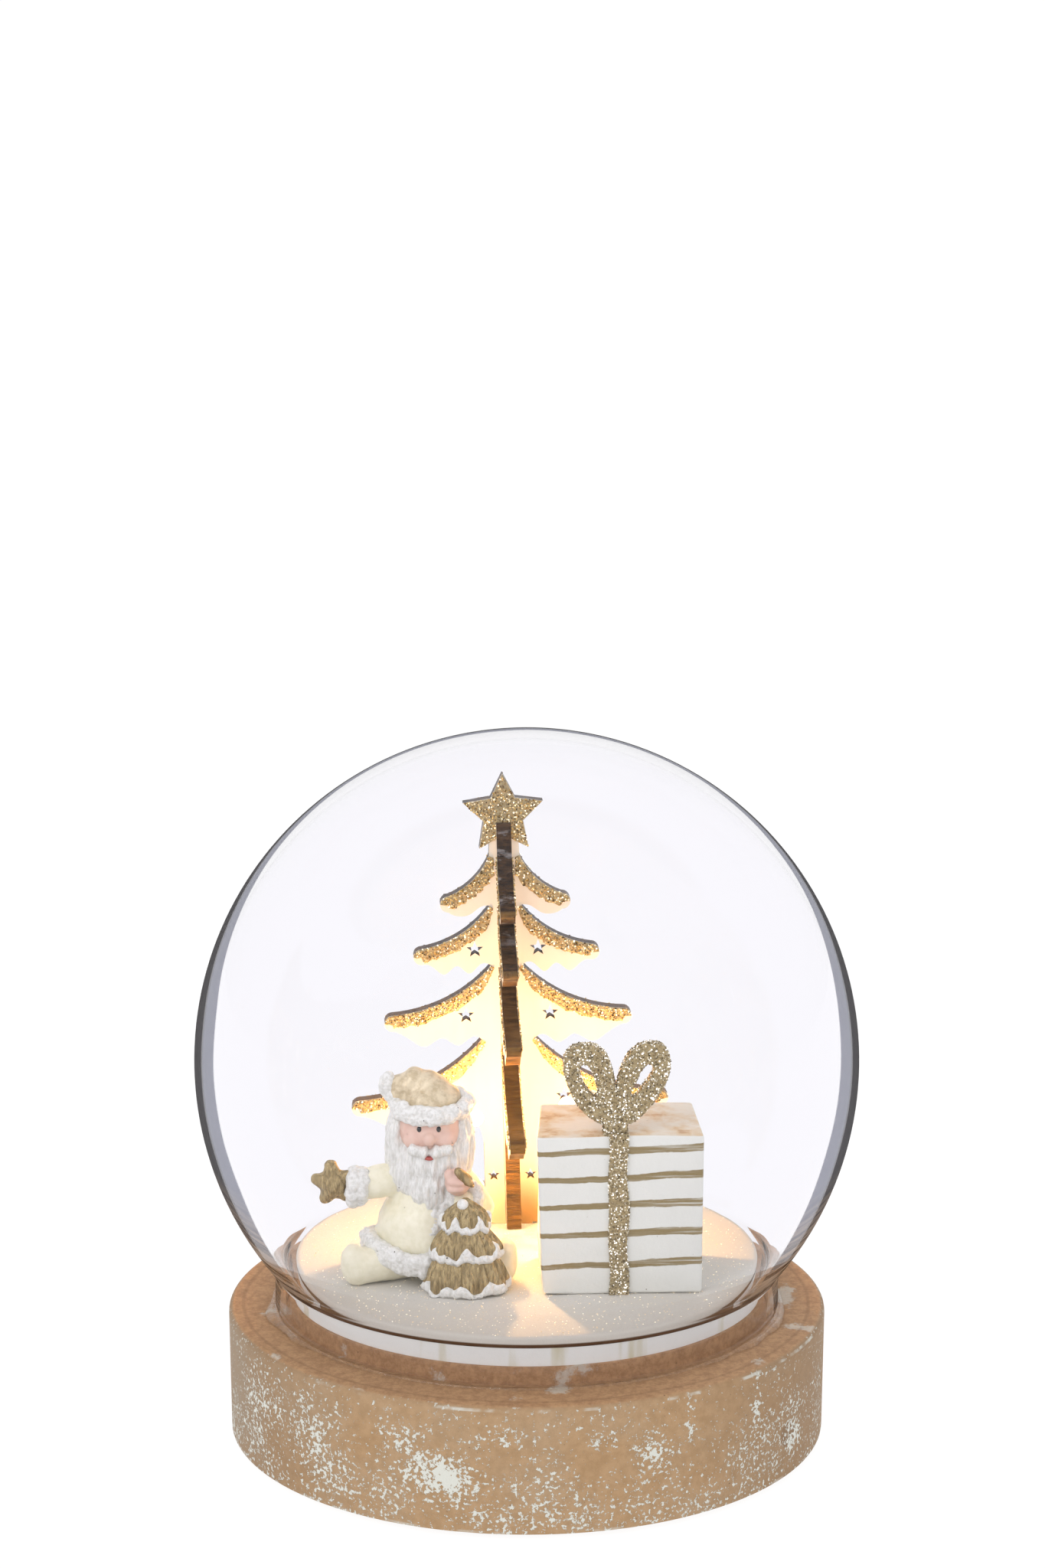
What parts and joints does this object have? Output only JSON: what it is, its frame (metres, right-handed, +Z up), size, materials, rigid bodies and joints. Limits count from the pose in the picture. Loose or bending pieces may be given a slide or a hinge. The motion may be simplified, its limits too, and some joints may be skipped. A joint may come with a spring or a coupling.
{
  "type": "snow globe",
  "caption": "Lit glass snow globe on a round wooden base with a plywood fir tree, present and seated figure; battery box with hinged cover and slide switch underneath.",
  "frame": {"origin": "centre of the felt underside", "axes": "+Z up through the centre of the glass, -Y towards the front of the scene, +X to the right seen from the front"},
  "size_m": [0.12, 0.12, 0.1297],
  "materials": {
    "clear_adhesive": "clear silicone, wet look",
    "base_wood": "matt MDF, turned, brushed with thin white paint and rubbed back",
    "box_plastic": "moulded black plastic, fine texture",
    "cell_wrap": "printed sleeve without lettering, steel ends",
    "steel": "zinc-plated steel",
    "nickel": "nickel-plated sheet",
    "felt": "brown needle felt",
    "gift_wood": "white paint with hand-painted gold stripes",
    "gold_glitter": "gold glitter",
    "glass": "clear, polished",
    "lamp": "warm clear epoxy",
    "sleeve": "white shrink sleeve",
    "white_paint_disc": "white painted board",
    "resin": "painted cast resin, satin",
    "resin_gold": "dark gold paint with white tips",
    "snow": "white felt with glitter grains",
    "knob": "black moulded plastic",
    "board": "green lacquered circuit board",
    "chip": "black moulded package",
    "tree_wood": "white painted plywood, scorched laser-cut edges, gold glitter",
    "wire": "insulated leads"
  },
  "bodies": {
    "housing": {"adhesive_bead": "clear_adhesive", "base_body": "base_wood", "battery_box": "box_plastic", "battery_cells": "cell_wrap", "box_screws": "steel", "contact_plates": "nickel", "contact_springs": "nickel", "felt_underlay": "felt", "gift_block": "gift_wood", "gift_bow": "gold_glitter", "gift_ribbon": "gold_glitter", "glass_dome": "glass", "lamp_left": "lamp", "lamp_left_sleeve": "sleeve", "lamp_right": "lamp", "lamp_right_sleeve": "sleeve", "platform_disc": "white_paint_disc", "resin_figure": "resin", "small_tree": "resin_gold", "snow_layer": "snow", "switch_can": "nickel", "timer_board": "board", "timer_chip": "chip", "tree_cross_plate": "tree_wood", "tree_main_plate": "tree_wood", "wires_left": "wire", "wires_right": "wire"},
    "battery_cover": {"battery_cover": "box_plastic"},
    "cover_screw": {"cover_screw": "steel"},
    "switch_slider": {"switch_slider": "knob"}
  },
  "joints": [
    {"name": "cover_hinge", "type": "hinge", "parent": "housing", "child": "battery_cover", "pos_m": [-0.02885, -0.0056, 0.002], "axis": [0, 1, 0], "range_deg": [0, 60]},
    {"name": "screw_turn", "type": "hinge", "parent": "battery_cover", "child": "cover_screw", "pos_m": [0.02695, -0.0056, 0.002], "axis": [0, 0, 1], "continuous": true},
    {"name": "switch_slide", "type": "slide", "parent": "housing", "child": "switch_slider", "axis": [1, 0, 0], "range_m": [0, 0.004]}
  ]
}
